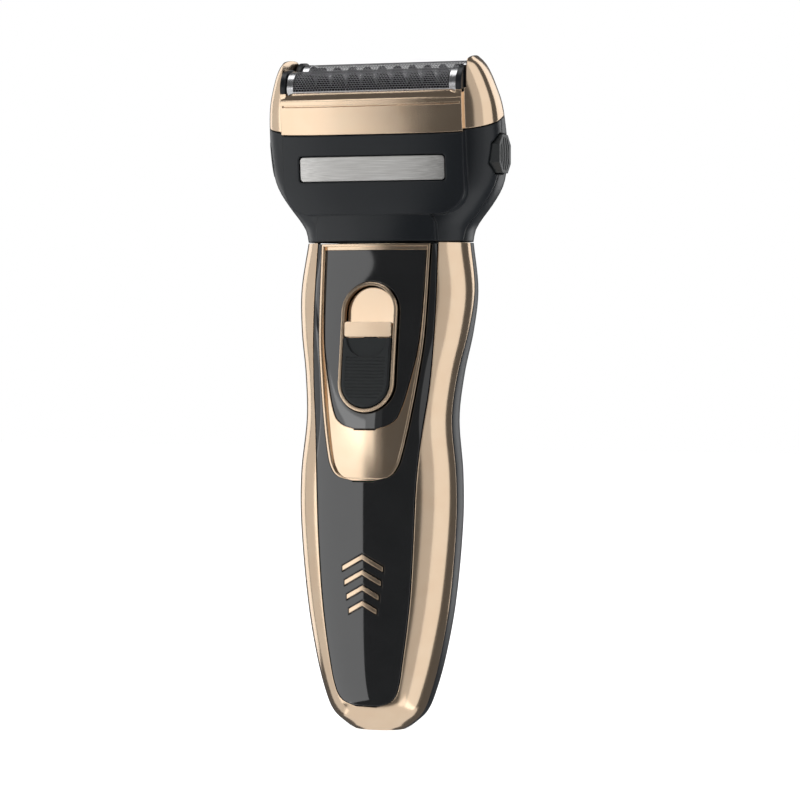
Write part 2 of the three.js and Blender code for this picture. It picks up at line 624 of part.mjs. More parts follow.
function buildFoilFrame() {
  const inHead = new THREE.Matrix4().copy(headMatrix).invert();
  const ears = headForm(0, 136, 162, undefined, 36).add(raisedFace(0, 162, -1)).add(raisedFace(0, 162, 1));
  const profile = EAR_PROFILE.map(([y, z]) => [SPINE_Y + y, z]);
  let frame = moved(ears.intersect(sideSlab(profile, 80)).subtract(belowRim(0)), inHead);
  frame = frame.subtract(box(WINDOW.width, 40, 30, 0, 0, WINDOW.floor + 15));
  frame = frame.subtract(box(WINDOW.width - 3.8, WINDOW.depth, 60, 0, 0, 0));
  frame = frame.subtract(box(WINDOW.width, WINDOW.endDepth, 60, 0, 0, 0));
  const groove = box(2 * RAISED.half + 4, 1.2, 0.5, 0, -12.6, WINDOW.floor - 1.6);
  piece("foil_frame", frame.subtract(groove), "gold", headMatrix);

  const capWidth = 1.3;
  const lobes = (grow, foot) =>
    sideSlab(arch(FOIL.radius + grow, -FOIL_HALF, foot, 14), capWidth).add(
      sideSlab(arch(FOIL.radius + grow, FOIL_HALF, foot, 14), capWidth),
    );
  const rib = box(WINDOW.width - 2, 0.6, 4, 0, 0, 4.6);
  const low = box(capWidth, WINDOW.endDepth - 2 * GAP, 6.4, 0, 0, 5.8);
  const cap = lobes(0.5, WINDOW.floor + GAP).add(low);
  let cassette = rib;
  for (const side of [-1, 1]) cassette = cassette.add(shifted(cap, side * CAP_X, 0, 0));
  piece("foil_cassette", cassette, "mattBlack", headMatrix);

  for (const [word, side] of [["front", -1], ["rear", 1]]) {
    const y = side * FOIL_HALF;
    const legEnd = ARC_Z - FOIL.leg;
    const shellOuter = sideSlab(arch(FOIL.radius, y, legEnd, 20), FOIL.length);
    const shellInner = sideSlab(arch(FOIL.radius - FOIL.sheet, y, legEnd - 1, 20), FOIL.length + 2);
    piece(`${word}_foil`, shellOuter.subtract(shellInner), "steel", headMatrix);

    const cutterFoot = 4.5;
    const radius = FOIL.radius - FOIL.sheet - 0.35;
    let cutter = sideSlab(arch(radius, y, cutterFoot, 8), CUTTER.length);
    const step = CUTTER.length / CUTTER.blades;
    for (let i = 1; i < CUTTER.blades; i += 1) {
      const slot = box(step - CUTTER.blade, 20, 20, -CUTTER.length / 2 + i * step, y, ARC_Z - 1.2 + 10);
      cutter = cutter.subtract(slot);
    }
    cutter = cutter.subtract(bar(1.35, 0, 7.4, 0, y, 14));
    piece(`${word}_cutter`, cutter, "steel", headMatrix);
    const spring = shifted(coil(1.9, 0.25, -0.3, cutterFoot - GAP, 4), 0, y, 0);
    piece(`${word}_cutter_spring`, spring, "steel", headMatrix);
  }
}

function buildBridge() {
  let bridge = box(34, 14, 1.6, 0, 0, -1.4);
  for (const side of [-1, 1]) bridge = bridge.add(bar(1, -1, 5.6, 0, side * FOIL_HALF, 14));
  const fork = box(12, 7, 9.4, 0, 0.6, -6.4).subtract(box(2 * FORK_HALF, 20, 9, 0, 0.6, -8.6));
  piece("drive_bridge", bridge.add(fork), "grey", headMatrix);
}

buildShells();
buildFront();
buildSwitch();
buildInside();
buildRotor();
buildHousing();
buildFoilFrame();
buildBridge();

export default shaver;
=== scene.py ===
"""Looks of a cordless twin-foil shaver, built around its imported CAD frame."""

import json
import logging
import math
from collections.abc import Iterable, Sequence
from dataclasses import dataclass, field
from enum import Enum

import bmesh
import bpy
import numpy as np
from mathutils import Matrix, Vector

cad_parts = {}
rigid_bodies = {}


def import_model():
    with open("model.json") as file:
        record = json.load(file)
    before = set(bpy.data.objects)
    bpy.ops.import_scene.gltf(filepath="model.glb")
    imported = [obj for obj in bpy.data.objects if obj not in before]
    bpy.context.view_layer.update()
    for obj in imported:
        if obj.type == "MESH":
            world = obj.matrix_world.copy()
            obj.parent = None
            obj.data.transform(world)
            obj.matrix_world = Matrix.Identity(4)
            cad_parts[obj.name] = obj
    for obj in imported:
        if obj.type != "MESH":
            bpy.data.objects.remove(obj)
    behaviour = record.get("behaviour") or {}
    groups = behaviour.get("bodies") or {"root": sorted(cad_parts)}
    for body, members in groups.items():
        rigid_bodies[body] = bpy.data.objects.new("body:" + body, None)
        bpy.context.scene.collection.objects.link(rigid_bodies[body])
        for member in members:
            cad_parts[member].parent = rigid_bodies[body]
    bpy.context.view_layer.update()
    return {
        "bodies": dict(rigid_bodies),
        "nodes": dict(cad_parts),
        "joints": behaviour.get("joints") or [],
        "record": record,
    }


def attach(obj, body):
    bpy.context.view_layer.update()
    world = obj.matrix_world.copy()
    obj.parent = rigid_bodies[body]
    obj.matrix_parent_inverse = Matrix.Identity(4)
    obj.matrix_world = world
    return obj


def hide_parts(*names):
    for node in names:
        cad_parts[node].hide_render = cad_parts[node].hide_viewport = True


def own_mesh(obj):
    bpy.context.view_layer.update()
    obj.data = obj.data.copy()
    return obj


LOG = logging.getLogger("shaver")
MM = 0.001
Point = tuple[float, float]

SPINE_Y = -2.6
NECK_Z = 117.4
GAP = 0.3
WALL = 1.7
AHEAD = -30.0
ON_SURFACE = 0.005
SAME_WAY = 0.96
SIGHT = 0.05
GRAIN_DEPTH = 0.05
HANDLE_POWER = 2.25
HANDLE_STATIONS = (
    (0, 6.3, -0.8, 5), (1, 8, -0.8, 6.2), (4, 11.3, -0.8, 9.1), (8.7, 13.4, -0.7, 11),
    (17.4, 15.8, -0.4, 12.4), (31, 18.3, -0.1, 13.1), (50, 20.1, 0, 13.4), (62, 20.1, 0.1, 13.2),
    (75, 18.9, 0.7, 12.8), (86, 19.8, 2.1, 12.8), (96, 21.5, 3.8, 12.9), (106, 22.2, 5.3, 12.9),
    (NECK_Z, 20.7, 6.2, 12.6),
)
SEAM_STATIONS = ((0, -1.2), (60, -2.4), (85, -2.4), (107, -0.6), (NECK_Z, -0.4))
PANEL_STATIONS = (
    (6.2, 2.6), (7.4, 6), (10, 7.9), (17.4, 9.4), (31, 11.2), (46, 12.2), (60, 12.8), (72, 13.7),
    (84, 15), (100, 15.7), (NECK_Z, 15.5),
)
BEZEL_STATIONS = (
    (60.5, 2.4), (61.4, 6.2), (63.6, 8.3), (67, 9.4), (75, 10.9), (84, 12.2), (95, 13.4), (NECK_Z, 13.9),
)
PLATE_STATIONS = ((72.8, 2.5), (73.6, 5.4), (75.6, 7.7), (83, 10), (93, 11.9), (105, 12.6), (115.6, 12.8))
HEAD_STATIONS = (
    (117.7, 20.6, 6.2, 12.6, 2.3), (120.6, 21.2, 6.1, 12.5, 2.35), (123.5, 23.1, 6, 12.3, 2.45),
    (126.4, 25.4, 5.9, 12.2, 2.55), (130.8, 28.1, 5.6, 12.2, 2.7), (135, 29.2, 5.1, 12.1, 2.8),
    (141, 29.6, 4.3, 11.8, 2.9), (146, 29.5, 3.3, 11.4, 2.9), (151, 29, 2.3, 10.9, 2.9),
    (155.4, 27.8, 1.3, 10.7, 2.8), (158.5, 26.6, 0.7, 10.5, 2.8), (160.5, 25.4, 0.4, 10.4, 2.8),
    (162, 23.8, 0.2, 10.3, 2.8),
)
EAR_PROFILE = (
    (-14, 130), (20, 130), (15, 150), (11.8, 156.4), (9.6, 159.4), (6.5, 161.3), (3, 162), (-1, 161.8),
    (-5, 160.8), (-8.2, 159), (-9.9, 156.8), (-14, 150),
)


# ---- curves and solids ----


def along(stations: Sequence[Sequence[float]], z: float, k: int = 1) -> float:
    """Read a smooth curve through stations.

    Args:
        stations: Rows whose first value is a height.
        z: The height to read at.
        k: The column to read.

    Returns:
        The column's value at that height.
    """
    last = len(stations) - 1
    i = 0
    while i < last - 1 and z > stations[i + 1][0]:
        i += 1

    def slope(j: int) -> float:
        """Slope of the curve at station j."""
        a, b = stations[max(j - 1, 0)], stations[min(j + 1, last)]
        return (b[k] - a[k]) / (b[0] - a[0])

    p, q = stations[i], stations[i + 1]
    span = q[0] - p[0]
    t = min(max((z - p[0]) / span, 0), 1)
    bend = span * t * (1 - t) * ((1 - t) * slope(i) - t * slope(i + 1))
    return p[k] + (q[k] - p[k]) * t * t * (3 - 2 * t) + bend


def spaced(low: float, high: float, step: float) -> list[float]:
    """Heights from low to high, about a step apart."""
    return list(np.linspace(low, high, max(2, round((high - low) / step) + 1)))


def mesh_of(verts: Iterable[Sequence[float]], faces: Iterable[Sequence[int]]) -> bpy.types.Mesh:
    """Make a mesh in metres from points in millimetres.

    Args:
        verts: Points in millimetres.
        faces: Corner numbers of each face.

    Returns:
        The mesh, with outward faces.
    """
    mesh = bpy.data.meshes.new("shape")
    mesh.from_pydata([[c * MM for c in v] for v in verts], [], list(faces))
    work = bmesh.new()
    work.from_mesh(mesh)
    bmesh.ops.remove_doubles(work, verts=work.verts, dist=1e-7)
    bmesh.ops.recalc_face_normals(work, faces=work.faces)
    work.to_mesh(mesh)
    work.free()
    return mesh


class Solid:
    """A closed mesh that can be cut and joined."""

    def __init__(self, mesh: bpy.types.Mesh) -> None:
        """Wrap a closed mesh."""
        self.mesh = mesh

    def copy(self) -> "Solid":
        """A solid of its own with the same shape."""
        return Solid(self.mesh.copy())

    def moved(self, matrix: Matrix) -> "Solid":
        """The same shape carried by a matrix in metres."""
        other = self.copy()
        other.mesh.transform(matrix)
        return other

    def shifted(self, x: float, y: float, z: float) -> "Solid":
        """The same shape, moved by millimetres."""
        return self.moved(Matrix.Translation((x * MM, y * MM, z * MM)))

    def _combined(self, other: "Solid", operation: str) -> "Solid":
        """Combine with another solid.

        Args:
            other: The second solid.
            operation: UNION, DIFFERENCE or INTERSECT.

        Returns:
            The combined solid.
        """
        a = bpy.data.objects.new("a", self.mesh.copy())
        b = bpy.data.objects.new("b", other.mesh)
        for thing in (a, b):
            bpy.context.scene.collection.objects.link(thing)
        modifier = a.modifiers.new("cut", "BOOLEAN")
        modifier.operation = operation
        modifier.solver = "MANIFOLD"
        modifier.object = b
        graph = bpy.context.evaluated_depsgraph_get()
        mesh = bpy.data.meshes.new_from_object(a.evaluated_get(graph))
        for thing in (a, b):
            bpy.data.objects.remove(thing)
        return Solid(mesh)

    def __add__(self, other: "Solid") -> "Solid":
        """Both solids as one."""
        return self._combined(other, "UNION")

    def __sub__(self, other: "Solid") -> "Solid":
        """This solid with the other cut away."""
        return self._combined(other, "DIFFERENCE")

    def __and__(self, other: "Solid") -> "Solid":
        """What both solids share."""
        return self._combined(other, "INTERSECT")


def skin(rings: Sequence[Sequence[Sequence[float]]]) -> Solid:
    """Close a skin through rings of points, with a flat fan at each end.

    Args:
        rings: Rings of the same number of points, in millimetres.

    Returns:
        The closed solid.
    """
    count = len(rings[0])
    verts = [p for ring in rings for p in ring]
    faces = []
    for r in range(len(rings) - 1):
        for i in range(count):
            j = (i + 1) % count
            faces.append((r * count + i, r * count + j, (r + 1) * count + j, (r + 1) * count + i))
    faces.append(tuple(range(count)))
    faces.append(tuple(reversed(range((len(rings) - 1) * count, len(rings) * count))))
    return Solid(mesh_of(verts, faces))


def prism(outline: Sequence[Point], low: float, high: float, axes: str) -> Solid:
    """Extrude an outline.

    Args:
        outline: Points in the plane of the first two axes.
        low: Where the extrusion starts.
        high: Where it ends.
        axes: Names of the outline's two axes and the extrusion's axis, such as "xzy".

    Returns:
        The extruded solid.
    """
    order = [axes.index(name) for name in "xyz"]
    rings = [[[(u, v, w)[k] for k in order] for u, v in outline] for w in (low, high)]
    return skin(rings)


def box(width: float, depth: float, height: float, x: float = 0, y: float = 0, z: float = 0) -> Solid:
    """A block by its size and middle, in millimetres."""
    w, d = width / 2, depth / 2
    outline = [(x - w, y - d), (x + w, y - d), (x + w, y + d), (x - w, y + d)]
    return prism(outline, z - height / 2, z + height / 2, "xyz")


def circle(radius: float, x: float = 0, y: float = 0, sides: int = 48) -> list[Point]:
    """Points of a circle."""
    turns = [2 * math.pi * i / sides for i in range(sides)]
    return [(x + radius * math.cos(t), y + radius * math.sin(t)) for t in turns]


def rounded(width: float, height: float, radius: float, steps: int = 12) -> list[Point]:
    """Outline of a bar with round corners, around the origin."""
    r = min(radius, width / 2 - 0.01, height / 2 - 0.01)
    w, h = width / 2 - r, height / 2 - r
    points = []
    for quarter, (x, y) in enumerate(((w, h), (-w, h), (-w, -h), (w, -h))):
        for i in range(steps + 1):
            t = (quarter + i / steps) * math.pi / 2
            points.append((x + r * math.cos(t), y + r * math.sin(t)))
    return points


def placed(outline: Sequence[Point], x: float, z: float) -> list[Point]:
    """An outline moved in its own plane."""
    return [(u + x, v + z) for u, v in outline]


def station_outline(stations: Sequence[Sequence[float]], inset: float = 0, top: float = 0) -> list[Point]:
    """Outline as wide as the stations say.

    Args:
        stations: Rows of height and half width.
        inset: How much the outline shrinks all round.
        top: How much higher than the last station it ends.

    Returns:
        Points in X and Z.
    """
    low, high = stations[0][0] + inset, stations[-1][0] + top
    heights = [low + (high - low) * t**1.7 for t in np.linspace(0, 1, 72)]
    right = [(max(along(stations, z) - inset, 0.5), z) for z in heights]
    return right + [(-x, z) for x, z in reversed(right)]


@dataclass(frozen=True)
class Form:
    """A smooth body given by stations of half width, set-back and half depth.

    Attributes:
        stations: The rows of the body.
        power: The superellipse power, or None where the stations hold it.
        grow: How much the body stands out, in millimetres.
    """

    stations: tuple[tuple[float, ...], ...]
    power: float | None = None
    grow: float = 0

    def grown(self, grow: float, power: float | None = None) -> "Form":
        """The same body, larger or smaller all round."""
        return Form(self.stations, power or self.power, self.grow + grow)

    def sizes(self, z: float) -> tuple[float, float, float, float]:
        """Half width, middle in Y, half depth and power at a height."""
        middle = SPINE_Y + along(self.stations, z, 2)
        power = self.power or along(self.stations, z, 4)
        return along(self.stations, z, 1) + self.grow, middle, along(self.stations, z, 3) + self.grow, power

    def point(self, z: float, angle: float) -> tuple[float, float, float]:
        """The point of the surface at a height and an angle."""
        a, middle, b, power = self.sizes(z)
        c, s = math.cos(angle), math.sin(angle)
        x = a * math.copysign(abs(c) ** (2 / power), c)
        return x, middle + b * math.copysign(abs(s) ** (2 / power), s), z

    def solid(self, bottom: float, top: float, step: float = 1.5, sides: int = 112) -> Solid:
        """The body between two heights."""
        levels = spaced(bottom, top, step)
        if bottom < 5:
            levels = [bottom + (top - bottom) * t**1.5 for t in np.linspace(0, 1, len(levels) + 10)]
        turns = [2 * math.pi * i / sides for i in range(sides)]
        return skin([[self.point(z, t) for t in turns] for z in levels])

    def value(self, x: float, y: float, z: float) -> float:
        """How far out a point is: one on the surface, less inside."""
        a, middle, b, power = self.sizes(z)
        return (abs(x / a) ** power + abs((y - middle) / b) ** power) ** (1 / power)

    def normal(self, x: float, y: float, z: float) -> Vector:
        """Outward direction of the surface near a point."""
        e = SIGHT
        gradient = Vector(
            (
                self.value(x + e, y, z) - self.value(x - e, y, z),
                self.value(x, y + e, z) - self.value(x, y - e, z),
                self.value(x, y, z + e) - self.value(x, y, z - e),
            )
        )
        return gradient.normalized()


HANDLE = Form(HANDLE_STATIONS, HANDLE_POWER)
HEAD = Form(HEAD_STATIONS)


def finished(solid: Solid, name: str, forms: Sequence[Form] = (), sharp: float = 32) -> bpy.types.Object:
    """Turn a solid into a piece with clean shading.

    Args:
        solid: The shape.
        name: The piece's name.
        forms: Smooth bodies whose surface the piece shares.
        sharp: Edges over this many degrees stay sharp.

    Returns:
        The piece, linked to the scene.
    """
    mesh = solid.mesh
    mesh.name = name
    mesh.shade_smooth()
    mesh.set_sharp_from_angle(angle=math.radians(sharp))
    if forms:
        normals = [Vector(corner.vector) for corner in mesh.corner_normals]
        known: dict[tuple[int, int], Vector] = {}
        for face in mesh.polygons:
            for loop in face.loop_indices:
                corner = mesh.loops[loop].vertex_index
                x, y, z = (c / MM for c in mesh.vertices[corner].co)
                for number, form in enumerate(forms):
                    if (number, corner) not in known:
                        near = abs(form.value(x, y, z) - 1) < ON_SURFACE
                        known[number, corner] = form.normal(x, y, z) if near else Vector()
                    if known[number, corner].dot(face.normal) > SAME_WAY:
                        normals[loop] = known[number, corner]
                        break
        mesh.normals_split_custom_set([tuple(n) for n in normals])
    piece = bpy.data.objects.new(name, mesh)
    bpy.context.scene.collection.objects.link(piece)
    return piece


class Finish(Enum):
    """The finishes of the pieces.

    Each is named as a slot in the record, apart from PAINTED_SHADE_FOIL_MESH and PAINTED_SHADE_STEEL, which the record has no slot
    for. A piece in one of those two takes the slot that the record gives its node.
    """

    GOLD = "gold"
    GLOSS_BLACK = "gloss_black"
    MATT_BLACK = "matt_black"
    GRIP_BLACK = "grip_black"
    LABEL = "label"
    FOIL_STEEL = "foil_steel"
    # Darker copy of the foil steel: painted shade for the holes of the perforated part.
    PAINTED_SHADE_FOIL_MESH = "foil_mesh"
    STEEL = "steel"
    # Near-black, dull copy of the steel: painted shade for the cutters under the foils.
    PAINTED_SHADE_STEEL = "painted_shade_steel"
    BRASS = "brass"
    BOARD_GREEN = "board_green"
    CELL_BLUE = "cell_blue"
    INNER_GREY = "inner_grey"


@dataclass(frozen=True)
class Look:
    """How one finish is shaded.

    Attributes:
        dark: Colour in the hollows of its grain.
        light: Colour on the tops of its grain.
        rough: Least and greatest roughness.
        grain: Size of the grain in millimetres along X, Y and Z.
        relief: Depth of the grain's bump.
        metallic: Whether it is a metal.
        soften: Radius that edges are softened by, in millimetres.
        index: Refractive index, which sets how strongly a plastic reflects.
    """

    dark: tuple[float, float, float]
    light: tuple[float, float, float]
    rough: tuple[float, float]
    grain: tuple[float, float, float] = (0.4, 0.4, 0.4)
    relief: float = 0.05
    metallic: float = 0
    soften: float = 0.25
    index: float = 1.5

    def material(self, name: str) -> bpy.types.Material:
        """Build the node tree.

        Args:
            name: The material's name.

        Returns:
            The material.
        """
        material = bpy.data.materials.new(name)
        material.use_nodes = True
        nodes, links = material.node_tree.nodes, material.node_tree.links
        shader = nodes["Principled BSDF"]
        shader.inputs["Metallic"].default_value = self.metallic
        shader.inputs["IOR"].default_value = self.index
        place = nodes.new("ShaderNodeTexCoord")
        mapping = nodes.new("ShaderNodeMapping")
        mapping.inputs["Scale"].default_value = [1 / (MM * size) for size in self.grain]
        grain = nodes.new("ShaderNodeTexNoise")
        grain.inputs["Scale"].default_value = 1.0
        grain.inputs["Detail"].default_value = 3.0
        links.new(place.outputs["Object"], mapping.inputs["Vector"])
        links.new(mapping.outputs["Vector"], grain.inputs["Vector"])
        colour = nodes.new("ShaderNodeValToRGB")
        colour.color_ramp.elements[0].position = 0.35
        colour.color_ramp.elements[1].position = 0.65
        colour.color_ramp.elements[0].color = (*self.dark, 1)
        colour.color_ramp.elements[1].color = (*self.light, 1)
        links.new(grain.outputs["Fac"], colour.inputs["Fac"])
        links.new(colour.outputs["Color"], shader.inputs["Base Color"])
        rough = nodes.new("ShaderNodeMapRange")
        rough.inputs["To Min"].default_value, rough.inputs["To Max"].default_value = self.rough
        links.new(grain.outputs["Fac"], rough.inputs["Value"])
        links.new(rough.outputs["Result"], shader.inputs["Roughness"])
        bump = nodes.new("ShaderNodeBump")
        bump.inputs["Strength"].default_value = self.relief
        bump.inputs["Distance"].default_value = GRAIN_DEPTH * MM
        links.new(grain.outputs["Fac"], bump.inputs["Height"])
        if self.soften:
            soft = nodes.new("ShaderNodeBevel")
            soft.samples = 4
            soft.inputs["Radius"].default_value = self.soften * MM
            links.new(soft.outputs["Normal"], bump.inputs["Normal"])
        links.new(bump.outputs["Normal"], shader.inputs["Normal"])
        return material


FINE_GRAIN = (0.16, 0.16, 0.16)
LOOKS = {
    Finish.GOLD: Look((0.82, 0.62, 0.44), (0.84, 0.65, 0.47), (0.13, 0.16), (6, 6, 6), 0.0006, 1),
    Finish.GLOSS_BLACK: Look(
        (0.006, 0.0065, 0.007), (0.008, 0.0085, 0.009), (0.03, 0.05), (6, 6, 6), 0.002, index=1.85
    ),
    Finish.MATT_BLACK: Look(
        (0.007, 0.009, 0.011), (0.010, 0.012, 0.015), (0.27, 0.33), FINE_GRAIN, 0.05, soften=0.6, index=1.42
    ),
    Finish.GRIP_BLACK: Look((0.010, 0.012, 0.013), (0.015, 0.018, 0.019), (0.34, 0.45), (0.2, 0.2, 0.2), 0.1),
    # Near-black steel for the cutters: painted shade where they sit under the foils.
    Finish.PAINTED_SHADE_STEEL: Look(
        (0.003, 0.003, 0.003), (0.006, 0.006, 0.006), (0.5, 0.7), (0.3, 0.3, 0.3), 0.1, soften=0, index=1.2
    ),
    Finish.LABEL: Look((0.52, 0.51, 0.49), (0.74, 0.73, 0.71), (0.3, 0.42), (7, 0.09, 0.09), 0.2, 1),
    Finish.FOIL_STEEL: Look(
        (0.55, 0.55, 0.56), (0.7, 0.7, 0.71), (0.2, 0.3), (0.5, 0.1, 0.1), 0.05, 1, soften=0
    ),
    # The perforated foil is the foil steel darkened, as painted shade of its holes.
    Finish.PAINTED_SHADE_FOIL_MESH: Look(
        (0.2, 0.2, 0.21), (0.3, 0.3, 0.31), (0.25, 0.35), (0.5, 0.1, 0.1), 0.05, 1, soften=0
    ),
    Finish.STEEL: Look((0.42, 0.43, 0.45), (0.6, 0.61, 0.63), (0.25, 0.4), (0.3, 0.3, 0.3), 0.08, 1),
    Finish.BRASS: Look((0.62, 0.42, 0.18), (0.78, 0.57, 0.28), (0.22, 0.35), (0.3, 0.3, 0.3), 0.06, 1),
    Finish.BOARD_GREEN: Look((0.02, 0.13, 0.05), (0.04, 0.22, 0.09), (0.35, 0.5), (2, 1, 0.4), 0.1),
    Finish.CELL_BLUE: Look((0.03, 0.11, 0.3), (0.05, 0.16, 0.4), (0.25, 0.35), (1, 1, 1), 0.08),
    Finish.INNER_GREY: Look((0.2, 0.21, 0.23), (0.28, 0.29, 0.31), (0.45, 0.6), (0.3, 0.3, 0.3), 0.1),
}


class Wardrobe:
    """Makes each finish once and dresses pieces in it."""

    def __init__(self) -> None:
        """Build every finish's material."""
        self.materials = {finish: look.material(finish.value) for finish, look in LOOKS.items()}

    def dress(self, piece: bpy.types.Object, finish: Finish) -> None:
        """Give a piece one finish all over."""
        piece.data.materials.clear()
        piece.data.materials.append(self.materials[finish])

    def dress_frame(self, nodes: dict[str, bpy.types.Object], subparts: list[dict[str, str]]) -> None:
        """Dress the frame's own nodes as the record says, with the cutters in near-black steel that paints
        the shade under the foils.

        Args:
            nodes: The frame's nodes by name.
            subparts: The record's list of nodes and material slots.
        """
        for row in subparts:
            node = nodes.get(row["node"])
            if node is not None:
                finish = Finish(row["material_slot"])
                # The cutters get near-black steel, as painted shade for where they sit under the foils.
                if row["node"].endswith("_cutter"):
                    finish = Finish.PAINTED_SHADE_STEEL
                for slot in node.material_slots:
                    slot.material = self.materials[finish]

    def add(
        self,
        solid: Solid,
        node: str,
        body: str,
        finish: Finish,
        forms: Sequence[Form] = (),
        sharp: float = 32,
    ) -> bpy.types.Object:
        """Finish a solid as a piece that stands for a frame node.

        Args:
            solid: The shape.
            node: The node it replaces.
            body: The body it rides on.
            finish: Its finish.
            forms: Smooth bodies whose surface it shares.
            sharp: Edges over this many degrees stay sharp.

        Returns:
            The piece.
        """
        piece = finished(solid, f"{node}_look", forms, sharp)
        self.dress(piece, finish)
        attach(piece, body)
        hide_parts(node)
        LOG.info("%s: %d faces", piece.name, len(piece.data.polygons))
        return piece


def turned(angle: float) -> Matrix:
    """A turn about X in radians."""
    return Matrix.Rotation(angle, 4, "X")


@dataclass
class Handle:
    """The handle: gold band, rear shell, black panel, bezel, switch and chevrons."""

    wardrobe: Wardrobe
    well_z: float = 92.3
    well_tilt: float = math.radians(8.5)
    well_size: tuple[float, float] = (14.2, 31.4)
    rim: float = 0.8
    slider_length: float = 20.6
    cap_length: float = 3.6
    rib_count: int = 13
    rib_pitch: float = 0.8
    chevron_top: float = 42.9
    chevron_pitch: float = 3.7
    chevron_half: float = 5.1
    chevron_shrink: float = 0.55
    chevron_rise: float = 0.56
    chevron_bar: float = 0.95
    chevron_count: int = 4
    outer: Solid = field(init=False)
    inner: Solid = field(init=False)

    def __post_init__(self) -> None:
        """Build the two forms that the shells are cut from."""
        self.outer = HANDLE.solid(0, NECK_Z)
        self.inner = HANDLE.grown(-WALL).solid(WALL, NECK_Z + 1, 4, 64)

    def well_matrix(self) -> Matrix:
        """The well's own frame, leaning with the handle's front."""
        _, middle, depth, _ = HANDLE.sizes(self.well_z)
        place = Matrix.Translation((0, (middle - depth) * MM, self.well_z * MM))
        return place @ turned(-self.well_tilt)

    def before_seam(self, shift: float) -> Solid:
        """Everything on the front side of the seam, moved back by a shift."""
        heights = spaced(0, NECK_Z, 2)
        seam = [(HANDLE.sizes(z)[1] + along(SEAM_STATIONS, z) + shift, z) for z in heights]
        start, end = seam[0], seam[-1]
        outline = [(AHEAD, -1.0), (start[0], -1.0), *seam, (end[0], end[1] + 1), (AHEAD, end[1] + 1)]
        return prism(outline, -40, 40, "yzx")

    def sheet(self, outline: Sequence[Point]) -> Solid:
        """An outline in X and Z, run through the front of the handle."""
        return prism(outline, AHEAD, SPINE_Y, "xzy")

    def build_shells(self) -> None:
        """The gold band and the rear shell with its bosses."""
        walls = self.outer - self.inner
        inlet = prism(placed(rounded(7.8, 4.6, 1.5), 0, SPINE_Y - 0.6), -1, 10, "xyz")
        opening = self.sheet(station_outline(PANEL_STATIONS, 0, 1))
        band = (walls & self.before_seam(-GAP)) - opening - inlet
        self.wardrobe.add(band, "side_band", "handle", Finish.GOLD, [HANDLE])
        rear = walls - self.before_seam(0) - inlet
        for x, z, seat, low in ((10.5, 24, 7.9, 5.2), (15, 104, 12.2, 8.8)):
            for side in (-1, 1):
                boss = prism(circle(2.5, side * x, z), SPINE_Y + low, 20, "xzy") & self.outer
                rear = rear + boss
                rear = rear - prism(circle(2.1, side * x, z), SPINE_Y + seat - GAP, 20, "xzy")
                rear = rear - prism(circle(1.1, side * x, z), 0, 20, "xzy")
        self.wardrobe.add(rear, "rear_shell", "handle", Finish.MATT_BLACK, [HANDLE])

    def chevron(self, index: int, grow: float) -> Solid:
        """The run of one chevron, grown all round."""
        half = self.chevron_half - self.chevron_shrink * index + grow
        drop = half * self.chevron_rise
        upper, lower = grow * 1.15, -(self.chevron_bar + grow) * 1.15
        points = [(-half, upper - drop), (-half, lower - drop), (0, lower), (half, lower - drop)]
        points += [(half, upper - drop), (0, upper)]
        return self.sheet(placed(points, 0, self.chevron_top - self.chevron_pitch * index))

    def build_front(self) -> None:
        """The black panel with its chevrons, the bezel and the switch plate."""
        low, high = 5.0, NECK_Z - GAP
        proud = HANDLE.grown(0.4).solid(20, high, 1.5)
        behind = HANDLE.grown(-WALL).solid(2, NECK_Z + 1, 4, 64)
        floor = HANDLE.grown(-0.9).solid(20, NECK_Z + 1, 2)
        panel = (HANDLE.grown(-0.02).solid(0.5, NECK_Z, 1.5) - behind) & self.sheet(
            station_outline(PANEL_STATIONS, GAP, -GAP)
        )
        panel = panel - self.sheet(station_outline(BEZEL_STATIONS, -GAP, 2))
        marks = HANDLE.grown(-0.6).solid(20, 60, 2)
        for i in range(self.chevron_count):
            panel = panel - (self.chevron(i, GAP) - floor)
            mark = (self.chevron(i, 0) & proud) - marks
            self.wardrobe.add(mark, f"chevron_{i + 1}", "handle", Finish.GOLD)
        self.wardrobe.add(panel, "front_panel", "handle", Finish.GLOSS_BLACK, [HANDLE])
        plate_run = self.sheet(station_outline(PLATE_STATIONS, -GAP))
        dish = HANDLE.grown(-0.35).solid(low, NECK_Z + 1, 1.5)
        lip = self.sheet(station_outline(BEZEL_STATIONS, 0.55, -0.9)) - dish
        bezel = (proud - behind) & self.sheet(station_outline(BEZEL_STATIONS, 0.02))
        bezel = bezel - plate_run - lip
        forms = [HANDLE.grown(0.4), HANDLE.grown(-0.35)]
        self.wardrobe.add(bezel, "switch_bezel", "handle", Finish.GOLD, forms)
        width, length = self.well_size
        hole = prism(rounded(width + 2 * GAP, length + 2 * GAP, width), -9, 9, "xzy")
        face = HANDLE.grown(-0.42)
        plate = (face.solid(20, high, 1.5) - behind) & self.sheet(station_outline(PLATE_STATIONS, 0.02))
        plate = plate - hole.moved(self.well_matrix())
        self.wardrobe.add(plate, "switch_plate", "handle", Finish.GLOSS_BLACK, [face])

